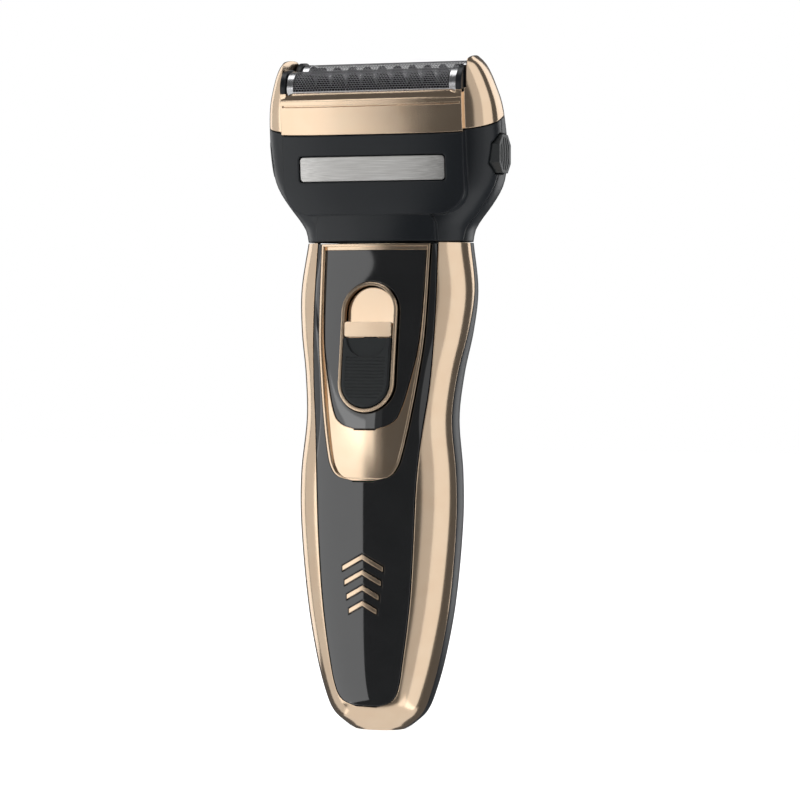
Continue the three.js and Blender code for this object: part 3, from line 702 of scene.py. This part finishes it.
    def build_switch(self) -> None:
        """The rim, the bed and the ribbed slider."""
        well = self.well_matrix()
        width, length = self.well_size
        inner, inner_length = width - 2 * self.rim, length - 2 * self.rim
        rim = prism(rounded(width, length, width, 24), -0.3, 2.4, "xzy")
        rim = rim + prism(rounded(width - 0.4, length - 0.4, width, 24), -0.5, 1, "xzy")
        rim = rim - prism(rounded(inner, inner_length, width, 24), -1, 3, "xzy")
        self.wardrobe.add(rim.moved(well), "switch_rim", "handle", Finish.GOLD)
        slot = box(3.4, 4, 14, 0, 2, -4)
        bed = prism(rounded(inner - 2 * GAP, inner_length - 2 * GAP, width, 24), 1.4, 2.4, "xzy") - slot
        bed = bed - prism([(1.95, 5.5), (0, 5.5), (0, 16), (1.35, 16)], -10, 10, "yzx")
        self.wardrobe.add(bed.moved(well), "switch_bed", "handle", Finish.GOLD)
        slide = inner - 2 * GAP
        bottom = GAP - inner_length / 2
        top = bottom + self.slider_length
        cap_base = top - self.cap_length
        middle = bottom + (self.slider_length + slide) / 2
        tall = self.slider_length + slide
        body = placed(rounded(slide, tall, slide, 24), 0, middle)
        low_body = placed(rounded(slide - 0.6, tall - 0.6, slide, 24), 0, middle)
        block = prism(body, -0.8, 1, "xzy") + prism(low_body, -1.1, 0.5, "xzy")
        grip = block - box(40, 40, 40, 0, 0, cap_base + 20 - GAP)
        grip = grip - prism(circle(5.2, 0, cap_base, 64), -4, -0.6, "xzy")
        grip = grip + box(2.2, 4.2, 4, 0, 2.6, -6)
        for i in range(self.rib_count):
            z = bottom + 2.4 + i * self.rib_pitch
            below = max(slide / 2 - (z - bottom), 0)
            half = math.sqrt((slide / 2) ** 2 - below**2) - 1
            grip = grip - box(2 * half, 0.3, 0.35, 0, -1.1, z)
        self.wardrobe.add(grip.moved(well), "slider_grip", "switch_slider", Finish.GRIP_BLACK)
        cap = placed(rounded(slide - 0.1, self.cap_length, 0.5, 6), 0, (top + cap_base) / 2)
        wedge = [(-0.5, cap_base), (0.95, cap_base), (0.95, top), (-0.95, top)]
        cap = prism(cap, -1, 1, "xzy") & prism(wedge, -10, 10, "yzx")
        self.wardrobe.add(cap.moved(well), "slider_cap", "switch_slider", Finish.GOLD)

    def build(self) -> None:
        """Build every visible piece of the handle."""
        self.build_shells()
        self.build_front()
        self.build_switch()


HEAD_TILT = math.radians(14)
HEAD_PLACE = Matrix.Translation((0, (SPINE_Y + 3.4) * MM, 146.2 * MM)) @ turned(HEAD_TILT)


@dataclass
class Head:
    """The head: covers, label, buttons and the gold foil frame."""

    wardrobe: Wardrobe
    rim_tilt: float = math.radians(5)
    rim_drop: float = 11.5
    face_half: float = 23.1
    face_bottom: float = 124.0
    face_corner: float = 6.8
    face_proud: float = 0.7
    face_power: float = 4.5
    tongue_half: float = 15.6
    tongue_top: float = 125.7
    tongue_proud: float = 0.5
    label_size: tuple[float, float, float] = (36.8, 5.8, 0.9)
    label_z: float = 135.0
    button_size: tuple[float, float, float] = (8.8, 9.2, 2.4)
    button_y: float = SPINE_Y + 3.4
    button_z: float = 138.5
    button_run: tuple[float, float] = (25.6, 30.2)
    window_width: float = 47.0
    window_floor: float = 9.7
    cove: float = 1.75
    seam_back: float = 2.6
    lip_gap: float = 0.1
    lip_thick: float = 0.7
    lip_width: float = 2.4

    def face(self, inset: float, top: float, side: int) -> Solid:
        """The raised face of the head, in front (-1) or behind (1)."""
        tall = 50.0
        half = self.face_half - inset
        outline = placed(
            rounded(2 * half, tall, self.face_corner - inset, 16), 0, self.face_bottom + inset + tall / 2
        )
        low, high = (AHEAD, SPINE_Y) if side < 0 else (SPINE_Y + 4, -AHEAD)
        sheet = prism(outline, low, high, "xzy")
        return self.face_form(inset).solid(self.face_bottom - 1, top, 1.5, 144) & sheet

    def face_form(self, inset: float) -> Form:
        """The smooth body of the raised faces."""
        return HEAD.grown(self.face_proud - inset, self.face_power)

    def tongue(self) -> Solid:
        """The tab in front that runs down to the handle."""
        w, top = self.tongue_half, self.tongue_top
        right = [(w, 110.0), (w - 0.3, top - 4)]
        for start, bend, end in (
            ((w - 0.3, top - 4), (w - 0.7, top - 2), (w - 2, top - 1.3)),
            ((w - 2, top - 1.3), (w - 2.7, top), (w - 3.7, top)),
        ):
            for t in np.linspace(0.1, 1, 10):
                weights = ((1 - t) ** 2, 2 * t * (1 - t), t * t)
                corners = list(zip(weights, (start, bend, end)))
                right.append((sum(k * p[0] for k, p in corners), sum(k * p[1] for k, p in corners)))
        outline = right + [(-x, z) for x, z in reversed(right)]
        body = HEAD.grown(self.tongue_proud, 2.7).solid(NECK_Z + GAP, 140, 1.5, 144)
        return body & prism(outline, AHEAD, SPINE_Y, "xzy")

    def below_rim(self, lift: float) -> Solid:
        """Everything below the rim, which is raised by a lift."""
        half = 60.0
        block = box(2 * half, 2 * half, 2 * half, 0, 0, lift - half).moved(turned(self.rim_tilt))
        return block.shifted(0, 0, self.rim_tilt * self.rim_drop).moved(HEAD_PLACE)

    def button(self, grow: float, low: float, high: float, side: int) -> Solid:
        """An eight-sided button's run between two distances from the middle."""
        width, height, cut = self.button_size
        w, h = width / 2 + grow, height / 2 + grow
        corners = [(w, cut - h), (w, h - cut), (w - cut, h), (cut - w, h)]
        corners += [(-w, h - cut), (-w, cut - h), (cut - w, -h), (w - cut, -h)]
        ends = sorted((side * low, side * high))
        return prism(placed(corners, self.button_y, self.button_z), ends[0], ends[1], "yzx")

    def build_covers(self) -> None:
        """The matt black covers, with the lip inside their seam, and the label."""
        forms = [HEAD, self.face_form(0), HEAD.grown(self.tongue_proud, 2.7)]
        outer = HEAD.solid(NECK_Z + GAP, 156, 1.5, 144) + self.face(0, 156, -1) + self.face(0, 156, 1)
        outer = outer + self.tongue()
        room = HEAD.grown(-WALL).solid(119.6, 157, 2.5, 64)
        spigot = Form(((110, 13.3, 8.6, 7.8), (121.4, 13.3, 8.6, 7.8)), 2.4).solid(110, 121.4, 4, 48)
        below = self.below_rim(-GAP)
        shell = ((outer - room) & below) - spigot
        seam = SPINE_Y + self.seam_back
        inward = self.lip_gap - WALL
        lip = HEAD.grown(inward).solid(120.2, 156, 1.5, 144)
        lip = lip - HEAD.grown(inward - self.lip_thick).solid(119, 157, 2.5, 64)
        lip = ((lip & box(90, self.lip_width, 90, 0, seam - 0.3, 140)) & below) - spigot
        for side in (-1, 1):
            shell = shell - self.button(GAP, 20, 40, side)
            lip = lip - self.button(GAP, 20, 40, side)
        front = (shell & box(90, 60, 90, 0, seam - 30 - GAP / 2, 140)) + lip
        pocket = self.label_sheet(GAP) - self.face(1.1, 156, -1)
        self.wardrobe.add(front - pocket, "head_front_cover", "shaver_head", Finish.MATT_BLACK, forms, 28)
        rear = (shell & box(90, 60, 90, 0, seam + 30 + GAP / 2, 140)) - lip
        self.wardrobe.add(rear, "head_rear_cover", "shaver_head", Finish.MATT_BLACK, forms, 28)
        label = (self.face(0.3, 156, -1) - self.face(0.8, 156, -1)) & self.label_sheet(0)
        self.wardrobe.add(label, "label_plate", "shaver_head", Finish.LABEL, [self.face_form(0.3)])

    def label_sheet(self, grow: float) -> Solid:
        """The label's outline, run through the front of the head."""
        width, height, corner = self.label_size
        outline = placed(rounded(width + 2 * grow, height + 2 * grow, corner), 0, self.label_z)
        return prism(outline, AHEAD, SPINE_Y, "xzy")

    def build_buttons(self) -> None:
        """The buttons with their curved ridges, the left one trimmed flush with the head."""
        low, high = self.button_run
        focus = (self.button_y + 7.5, self.button_z)
        for word, side in (("left", -1), ("right", 1)):
            button = self.button(0, low, high, side)
            ends = sorted((side * (high - 0.45), side * (high + 1)))
            inside = self.button(-0.7, low, high + 2, side)
            for i in range(5):
                radius = 5.6 + 1.35 * i
                ring = prism(circle(radius, *focus, 72), *ends, "yzx")
                ring = ring - prism(circle(radius - 0.6, *focus, 72), ends[0] - 1, ends[1] + 1, "yzx")
                button = button - (ring & inside)
            if side < 0:
                button = button & HEAD.grown(0.1).solid(120, 156, 1.5, 144)
            self.wardrobe.add(button, f"release_button_{word}", f"{word}_button", Finish.GRIP_BLACK)

    def sloped_face(self) -> Solid:
        """The raised face, drawn in towards the foils above the rail."""
        start, run, depth = 151.3, 1.7, 0.6
        rows = []
        for z in spaced(136, 162, 0.5):
            slope = depth * min(max((z - start) / run, 0), 1)
            width, middle, deep = (along(HEAD_STATIONS, z, k) for k in (1, 2, 3))
            rows.append((z, width, middle, deep - slope))
        return Form(tuple(rows), self.face_power, self.face_proud).solid(136, 162, 0.4, 144)

    def build_frame(self) -> None:
        """The gold frame round the foils."""
        back = HEAD_PLACE.inverted()
        ears = HEAD.solid(136, 162, 1, 160) + self.face(0, 162, -1) + self.face(0, 162, 1)
        profile = [(SPINE_Y + y, z) for y, z in smooth_profile()]
        frame = ((ears & prism(profile, -40, 40, "yzx")) - self.below_rim(0)).moved(back)
        frame = frame - box(self.window_width, 40, 30, 0, 0, self.window_floor + 15)
        frame = frame - box(self.window_width - 3.8, 19.8, 60)
        frame = frame - box(self.window_width, 14.6, 60)
        top = self.window_floor
        cove = box(2 * self.face_half, 6, self.cove, 0, -12.9, top - self.cove / 2)
        cove = cove - self.sloped_face().moved(back)
        deep = self.face_form(0.5).solid(136, 162, 1, 160).moved(back)
        groove = box(2 * self.face_half - 1, 6, 0.4, 0, -13, top - 3) - deep
        frame = frame - cove - groove
        forms = [HEAD, self.face_form(0)]
        self.wardrobe.add(frame.moved(HEAD_PLACE), "foil_frame", "foil_carrier", Finish.GOLD, forms, 28)

    def build(self) -> None:
        """Build every visible piece of the head's shell."""
        self.build_covers()
        self.build_buttons()
        self.build_frame()


def smooth_profile() -> list[Point]:
    """Side view of the frame's ends, with its round top drawn finely."""
    top = EAR_PROFILE[2:]
    points = [Vector((y, z)) for y, z in top]
    fine = [tuple(p) for p in EAR_PROFILE[:2]]
    for i in range(len(points) - 1):
        before, start = points[max(i - 1, 0)], points[i]
        end, after = points[i + 1], points[min(i + 2, len(points) - 1)]
        for t in np.linspace(0, 1, 6)[:-1]:
            a = start * 2 + (end - before) * t + (before * 2 - start * 5 + end * 4 - after) * t * t
            a = a + (start * 3 - before - end * 3 + after) * t**3
            fine.append((a.x / 2, a.y / 2))
    fine.append(tuple(points[-1]))
    return fine


@dataclass
class Foils:
    """The perforated foils and the cassette's round ends."""

    wardrobe: Wardrobe
    length: float = 43.0
    radius: float = 4.3
    pitch: float = 9.8
    crown: float = 14.2
    leg: float = 3.2
    sheet: float = 0.3
    strip: float = 1.6
    hole_pitch: float = 0.72
    row_pitch: float = 0.52
    bar: float = 0.065
    depth: float = 0.03

    def cell_mesh(self) -> bpy.types.Mesh:
        """One cell of the foil: a frame round a hole, and the hole's walls."""
        w, h = self.hole_pitch / 2, self.row_pitch / 2
        outer = [(-w, -h), (0, -h), (w, -h), (w, 0), (w, h), (0, h), (-w, h), (-w, 0)]
        a, b = w - self.bar / 2, h - self.bar / 2
        inner = [(-a * 0.8, -b * 0.7), (0, -b), (a * 0.8, -b * 0.7), (a, 0)]
        inner += [(a * 0.8, b * 0.7), (0, b), (-a * 0.8, b * 0.7), (-a, 0)]
        verts = [(x, y, 0) for x, y in outer + inner]
        verts += [(x, y, -self.depth) for x, y in inner]
        rings = [(i, (i + 1) % 8) for i in range(8)]
        faces = [(8 * k + i, 8 * k + j, 8 * k + 8 + j, 8 * k + 8 + i) for k in (0, 1) for i, j in rings]
        return mesh_of(verts, faces)

    def scatter_tree(self) -> bpy.types.NodeTree:
        """Geometry nodes that lay the cell out in a staggered grid and bend it to an arch."""
        tree = bpy.data.node_groups.new("foil_mesh", "GeometryNodeTree")
        face = tree.interface
        face.new_socket("Geometry", in_out="OUTPUT", socket_type="NodeSocketGeometry")
        face.new_socket("Cell", in_out="INPUT", socket_type="NodeSocketObject")
        for name in ("Columns", "Rows"):
            face.new_socket(name, in_out="INPUT", socket_type="NodeSocketInt")
        for name in ("Column pitch", "Row pitch", "Radius"):
            face.new_socket(name, in_out="INPUT", socket_type="NodeSocketFloat")
        face.new_socket("Finish", in_out="INPUT", socket_type="NodeSocketMaterial")
        node, link = tree.nodes.new, tree.links.new
        ends = node("NodeGroupInput"), node("NodeGroupOutput")
        given = ends[0].outputs

        def worked_out(kind: str, a: object, b: object, c: object = None) -> object:
            """Join sockets or numbers by one calculation."""
            step = node("ShaderNodeMath")
            step.operation = kind
            for socket, value in zip(step.inputs, (a, b, c)):
                if isinstance(value, (int, float)):
                    socket.default_value = value
                elif value is not None:
                    link(value, socket)
            return step.outputs[0]

        count = worked_out("MULTIPLY", given["Columns"], given["Rows"])
        points = node("GeometryNodePoints")
        link(count, points.inputs["Count"])
        index = node("GeometryNodeInputIndex").outputs[0]
        row = worked_out("FLOOR", worked_out("DIVIDE", index, given["Columns"]), 0)
        column = worked_out("SUBTRACT", index, worked_out("MULTIPLY", row, given["Columns"]))
        odd = worked_out("MODULO", row, 2)
        middle = worked_out("DIVIDE", worked_out("SUBTRACT", given["Columns"], 1), 2)
        across = worked_out("ADD", worked_out("SUBTRACT", column, middle), worked_out("MULTIPLY", odd, 0.5))
        across = worked_out("SUBTRACT", across, 0.25)
        up = worked_out("SUBTRACT", row, worked_out("DIVIDE", worked_out("SUBTRACT", given["Rows"], 1), 2))
        flat = node("ShaderNodeCombineXYZ")
        link(worked_out("MULTIPLY", across, given["Column pitch"]), flat.inputs["X"])
        link(worked_out("MULTIPLY", up, given["Row pitch"]), flat.inputs["Y"])
        link(flat.outputs[0], points.inputs["Position"])
        info = node("GeometryNodeObjectInfo")
        link(given["Cell"], info.inputs["Object"])
        copies = node("GeometryNodeInstanceOnPoints")
        link(points.outputs[0], copies.inputs["Points"])
        link(info.outputs["Geometry"], copies.inputs["Instance"])
        solid = node("GeometryNodeRealizeInstances")
        link(copies.outputs[0], solid.inputs[0])
        place = node("ShaderNodeSeparateXYZ")
        link(node("GeometryNodeInputPosition").outputs[0], place.inputs[0])
        angle = worked_out("DIVIDE", place.outputs["Y"], given["Radius"])
        reach = worked_out("ADD", given["Radius"], place.outputs["Z"])
        bent = node("ShaderNodeCombineXYZ")
        link(place.outputs["X"], bent.inputs["X"])
        link(worked_out("MULTIPLY", worked_out("SINE", angle, 0), reach), bent.inputs["Y"])
        link(worked_out("MULTIPLY", worked_out("COSINE", angle, 0), reach), bent.inputs["Z"])
        bend = node("GeometryNodeSetPosition")
        link(solid.outputs[0], bend.inputs["Geometry"])
        link(bent.outputs[0], bend.inputs["Position"])
        dress = node("GeometryNodeSetMaterial")
        link(bend.outputs[0], dress.inputs["Geometry"])
        link(given["Finish"], dress.inputs["Material"])
        link(dress.outputs[0], ends[1].inputs[0])
        return tree

    def grown_mesh(self) -> bpy.types.Mesh:
        """The perforated arch, around its own axis at the origin."""
        cell = bpy.data.objects.new("cell", self.cell_mesh())
        holder = bpy.data.objects.new("holder", bpy.data.meshes.new("holder"))
        for thing in (cell, holder):
            bpy.context.scene.collection.objects.link(thing)
        tree = self.scatter_tree()
        modifier = holder.modifiers.new("mesh", "NODES")
        modifier.node_group = tree
        values = {
            "Cell": cell,
            "Columns": int((self.length - 2 * self.strip) / self.hole_pitch),
            "Rows": int(self.radius * math.radians(176) / self.row_pitch),
            "Column pitch": self.hole_pitch * MM,
            "Row pitch": self.row_pitch * MM,
            "Radius": (self.radius - 0.03) * MM,
            # The darkened foil steel, as painted shade of the holes.
            "Finish": self.wardrobe.materials[Finish.PAINTED_SHADE_FOIL_MESH],
        }
        for item in tree.interface.items_tree:
            if item.in_out == "INPUT":
                modifier[item.identifier] = values[item.name]
        graph = bpy.context.evaluated_depsgraph_get()
        mesh = bpy.data.meshes.new_from_object(holder.evaluated_get(graph))
        for thing in (cell, holder):
            bpy.data.objects.remove(thing)
        return mesh

    def arch(self, radius: float, y: float, foot: float) -> list[Point]:
        """An arch in Y and Z with straight legs."""
        centre = self.crown - self.radius
        turns = [math.pi * i / 48 for i in range(49)]
        points = [(y + radius * math.cos(t), centre + radius * math.sin(t)) for t in turns]
        return [(y + radius, foot), *points, (y - radius, foot)]

    def run(self, outline: Sequence[Point], length: float, x: float = 0) -> Solid:
        """An outline in Y and Z, run along X."""
        return prism(outline, x - length / 2, x + length / 2, "yzx")

    def build_foils(self) -> None:
        """Both foils: a plain border and the perforated arch."""
        centre = self.crown - self.radius
        grid = self.grown_mesh()
        for word, side in (("front", -1), ("rear", 1)):
            y = side * self.pitch / 2
            foot = centre - self.leg
            border = self.run(self.arch(self.radius, y, foot), self.length)
            border = border - self.run(self.arch(self.radius - self.sheet, y, foot - 1), self.length + 2)
            opening = box(self.length - 2 * self.strip, 2 * self.radius + 2, 6, 0, y, centre + 3.1)
            border = (border - opening).moved(HEAD_PLACE)
            self.wardrobe.add(border, f"{word}_foil", f"{word}_foil_float", Finish.FOIL_STEEL)
            mesh = grid.copy()
            mesh.transform(HEAD_PLACE @ Matrix.Translation((0, y * MM, centre * MM)))
            mesh.shade_smooth()
            piece = bpy.data.objects.new(f"{word}_foil_mesh", mesh)
            bpy.context.scene.collection.objects.link(piece)
            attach(piece, f"{word}_foil_float")

    def build_cassette(self) -> None:
        """The black block that holds both foils, with round ends and a rib between them."""
        foot = self.crown - self.radius - 1
        width, grow, place = 1.3, 0.5, 22.45
        cassette = box(45, 0.6, 4, 0, 0, 4.6)
        for side in (-1, 1):
            cap = box(width, 14.0, 6.4, side * place, 0, 5.8)
            for half in (-1, 1):
                lobe = self.arch(self.radius + grow, half * self.pitch / 2, foot)
                cap = cap + self.run(lobe, width, side * place)
            cassette = cassette + cap
        self.wardrobe.add(cassette.moved(HEAD_PLACE), "foil_cassette", "foil_carrier", Finish.MATT_BLACK)

    def build(self) -> None:
        """Build the foils and what holds them."""
        self.build_foils()
        self.build_cassette()


@dataclass(frozen=True)
class Softbox:
    """A soft rectangular light.

    Attributes:
        name: The light's name.
        place: Where it stands, in metres.
        size: Its width and height, in metres.
        power: Its power in watts.
        roll: How far it is rolled on its own axis, in degrees.
        upright: Whether it stands upright instead of leaning towards its target.
    """

    name: str
    place: tuple[float, float, float]
    size: tuple[float, float]
    power: float
    roll: float = 0
    upright: bool = True

    def build(self, target: Vector) -> None:
        """Add the light, facing a target."""
        lamp = bpy.data.lights.new(self.name, "AREA")
        lamp.shape = "RECTANGLE"
        lamp.size, lamp.size_y = self.size
        lamp.energy = self.power
        thing = bpy.data.objects.new(self.name, lamp)
        thing.location = self.place
        level = target
        if self.upright:
            level = Vector((target.x, target.y, self.place[2]))
        aim = (level - thing.location).to_track_quat("-Z", "Y").to_matrix()
        thing.rotation_euler = (aim @ Matrix.Rotation(math.radians(self.roll), 3, "Z")).to_euler()
        bpy.context.scene.collection.objects.link(thing)


LIGHTS = (
    Softbox("key_low", (-0.92, -0.83, -0.31), (1.3, 1.2), 5.8),
    Softbox("key_high", (-0.92, -0.92, 0.37), (1.56, 0.2), 1.1, -6),
    Softbox("cap_glow", (-0.3, -1.21, 0.24), (0.26, 0.2), 0.025),
    Softbox("left_fill", (-1.24, -0.02, -0.2), (0.7, 2.2), 2.8),
    Softbox("right_fill", (0.93, -0.755, -0.1), (0.47, 2.4), 1.7),
    Softbox("side", (1.1, -0.1, -0.1), (0.9, 2.4), 6.0),
    Softbox("edge", (0.45, 1.0, 0.4), (0.6, 1.4), 2.8, 0, False),
    Softbox("left_edge", (-1.0, 0.55, 0.4), (0.5, 1.4), 2.4, 0, False),
    Softbox("top", (-0.1, -0.1, 1.2), (0.9, 0.9), 5, 0, False),
    Softbox("under", (0.001, -0.1, -1.0), (2.2, 1.5), 7.5, 0, False),
)


@dataclass
class Studio:
    """The pale floor, the lights and the camera."""

    azimuth: float = math.radians(20)
    elevation: float = math.radians(1.5)
    aim: tuple[float, float, float] = (4.1, -1.1, 79.4)
    frame_width: float = 193.7
    lens: float = 135.0
    sensor: float = 36.0
    floor_half: float = 1.5
    floor_glow: float = 0.93
    surround_seen: float = 1.0
    surround_light: float = 0.11
    light_aim: tuple[float, float, float] = (0, 0, 0.085)

    def build_floor(self) -> None:
        """A pale floor that glows a little and is kept out of glossy reflections."""
        half = self.floor_half
        corners = [(-half, -half, 0), (half, -half, 0), (half, half, 0), (-half, half, 0)]
        mesh = bpy.data.meshes.new("floor")
        mesh.from_pydata(corners, [], [(0, 1, 2, 3)])
        floor = bpy.data.objects.new("floor", mesh)
        bpy.context.scene.collection.objects.link(floor)
        look = Look((0.86, 0.86, 0.86), (0.88, 0.88, 0.88), (0.6, 0.7), (5, 5, 5), soften=0)
        material = look.material("floor")
        shader = material.node_tree.nodes["Principled BSDF"]
        shader.inputs["Emission Color"].default_value = (1, 1, 1, 1)
        shader.inputs["Emission Strength"].default_value = self.floor_glow
        mesh.materials.append(material)
        floor.visible_glossy = False

    def build_world(self) -> None:
        """A surround that is bright to the camera and lights the object only dimly."""
        world = bpy.data.worlds.new("studio")
        bpy.context.scene.world = world
        world.use_nodes = True
        nodes, links = world.node_tree.nodes, world.node_tree.links
        pale, dim = nodes["Background"], nodes.new("ShaderNodeBackground")
        mix = nodes.new("ShaderNodeMixShader")
        seen = nodes.new("ShaderNodeLightPath")
        pale.inputs["Color"].default_value = (1, 1, 1, 1)
        pale.inputs["Strength"].default_value = self.surround_seen
        dim.inputs["Color"].default_value = (0.97, 0.98, 1, 1)
        dim.inputs["Strength"].default_value = self.surround_light
        links.new(seen.outputs["Is Camera Ray"], mix.inputs["Fac"])
        links.new(dim.outputs[0], mix.inputs[1])
        links.new(pale.outputs[0], mix.inputs[2])
        links.new(mix.outputs[0], nodes["World Output"].inputs["Surface"])

    def build_lights(self) -> None:
        """Soft lights on both sides, above, below and behind."""
        target = Vector(self.light_aim)
        for softbox in LIGHTS:
            softbox.build(target)

    def build_camera(self) -> None:
        """The camera, at a long lens from the front right."""
        a, e = self.azimuth, self.elevation
        back = Vector((math.sin(a) * math.cos(e), -math.cos(a) * math.cos(e), math.sin(e)))
        data = bpy.data.cameras.new("camera")
        data.lens, data.sensor_width = self.lens, self.sensor
        distance = self.frame_width * MM * self.lens / self.sensor
        camera = bpy.data.objects.new("camera", data)
        camera.location = Vector(self.aim) * MM + back * distance
        camera.rotation_euler = back.to_track_quat("Z", "Y").to_euler()
        bpy.context.scene.collection.objects.link(camera)
        bpy.context.scene.camera = camera
        bpy.context.scene.view_settings.view_transform = "Standard"

    def build(self) -> None:
        """Build the whole studio."""
        self.build_floor()
        self.build_world()
        self.build_lights()
        self.build_camera()


@dataclass
class CutterSprings:
    """The coil springs that lift the cutters."""

    wardrobe: Wardrobe
    spread: float = 9.8
    radius: float = 1.9
    wire: float = 0.25
    run: tuple[float, float] = (-0.3, 4.2)
    turns: int = 4
    travel: float = 1.0

    def coil(self, y: float) -> Solid:
        """One bent wire around the head's own Z axis, moved along Y."""
        low, high = self.run
        rings = []
        for t in np.linspace(0, 1, self.turns * 24 + 1):
            angle = t * self.turns * 2 * math.pi
            out = Vector((math.cos(angle), math.sin(angle), 0))
            middle = out * self.radius + Vector((0, y, low + self.wire + t * (high - low - 2 * self.wire)))
            section = [out * x + Vector((0, 0, z)) for x, z in circle(self.wire, sides=10)]
            rings.append([middle + point for point in section])
        return skin(rings)

    def build(self) -> None:
        """Build both springs."""
        low, high = self.run
        axis = HEAD_PLACE.to_3x3() @ Vector((0, 0, 1))
        for word, side in (("front", -1), ("rear", 1)):
            y = side * self.spread / 2
            coil = self.coil(y).moved(HEAD_PLACE)
            piece = self.wardrobe.add(coil, f"{word}_cutter_spring", "bridge", Finish.STEEL)
            anchor = HEAD_PLACE @ (Vector((0, y, low)) * MM)
            keep = 1 - 1.15 * self.travel / (high - low)
            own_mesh(piece)


def main() -> None:
    """Build the shaver's looks and the studio."""
    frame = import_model()
    wardrobe = Wardrobe()
    wardrobe.dress_frame(frame["nodes"], frame["record"]["subparts"])
    Handle(wardrobe).build()
    Head(wardrobe).build()
    Foils(wardrobe).build()
    CutterSprings(wardrobe).build()
    Studio().build()


if __name__ == "__main__":
    logging.basicConfig(level=logging.INFO)
    main()
